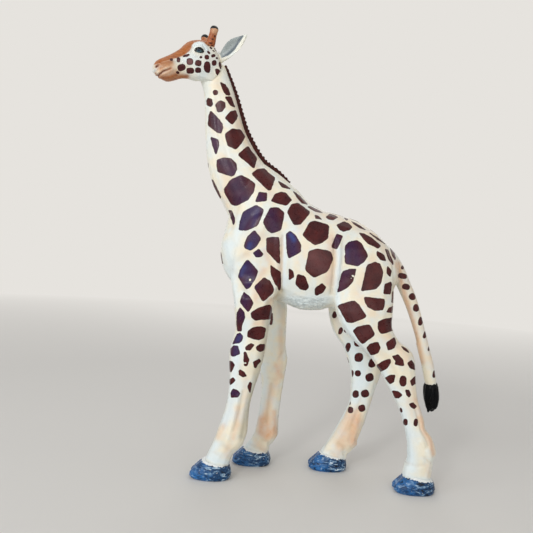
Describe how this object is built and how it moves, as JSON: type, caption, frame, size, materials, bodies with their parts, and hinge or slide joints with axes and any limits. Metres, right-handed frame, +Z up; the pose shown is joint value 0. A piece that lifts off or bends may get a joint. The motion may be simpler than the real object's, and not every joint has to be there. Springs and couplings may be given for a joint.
{
  "type": "toy giraffe figure",
  "caption": "Walking toy giraffe of painted plastic with a turned head, a short ridge mane, cloven hooves and a tufted tail.",
  "frame": {"origin": "on the ground plane under the middle of the figure's bounding box", "axes": "+Z up, the figure faces -X, its left side is towards -Y"},
  "size_m": [0.174, 0.0456, 0.2489],
  "materials": {
    "coat_paint": "satin cream paint with brown patches over solid PVC",
    "mane_paint": "satin dark brown paint on PVC",
    "tuft_paint": "glossy near-black paint on PVC",
    "hoof_paint": "dry-brushed blue-grey paint on PVC",
    "horn_paint": "satin brown paint on PVC",
    "eye_gloss": "glossy black paint"
  },
  "bodies": {
    "root": {"torso": "coat_paint", "neck": "coat_paint", "head": "coat_paint", "left_ear": "coat_paint", "right_ear": "coat_paint", "front_left_leg": "coat_paint", "front_right_leg": "coat_paint", "hind_left_leg": "coat_paint", "hind_right_leg": "coat_paint", "tail": "coat_paint", "left_ossicone": "horn_paint", "right_ossicone": "horn_paint", "mane": "mane_paint", "tail_tuft": "tuft_paint", "left_eye": "eye_gloss", "right_eye": "eye_gloss", "front_left_hoof": "hoof_paint", "front_right_hoof": "hoof_paint", "hind_left_hoof": "hoof_paint", "hind_right_hoof": "hoof_paint"}
  },
  "joints": []
}
